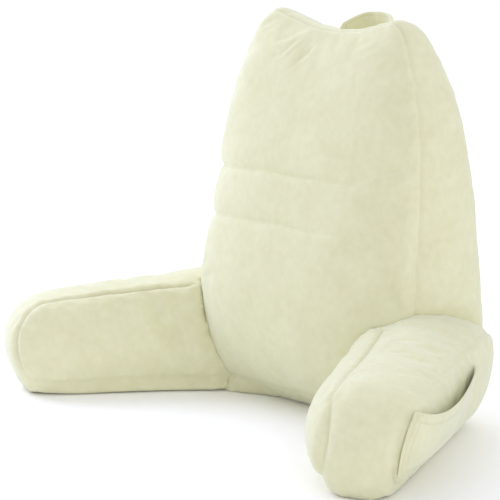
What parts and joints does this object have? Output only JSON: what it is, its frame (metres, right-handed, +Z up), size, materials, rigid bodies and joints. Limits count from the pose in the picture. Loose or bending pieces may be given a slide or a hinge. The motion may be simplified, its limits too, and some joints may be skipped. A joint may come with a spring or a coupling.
{
  "type": "reading pillow with arms",
  "caption": "Tall stuffed wedge cushion to lean on, with a splayed stuffed arm on each side, a patch pocket on each arm's outer wall and a carrying strap behind the top.",
  "frame": {"origin": "on the surface it stands on, under the middle of the backrest", "axes": "+Z up, the pillow faces -Y, +X towards the arm on the viewer's right as seen from the front"},
  "size_m": [0.9053, 0.4573, 0.5861],
  "materials": {
    "plush": "soft short pile"
  },
  "bodies": {
    "root": {"backrest": "plush", "arm_left": "plush", "arm_right": "plush", "pocket_left": "plush", "pocket_right": "plush", "handle": "plush"}
  },
  "joints": []
}
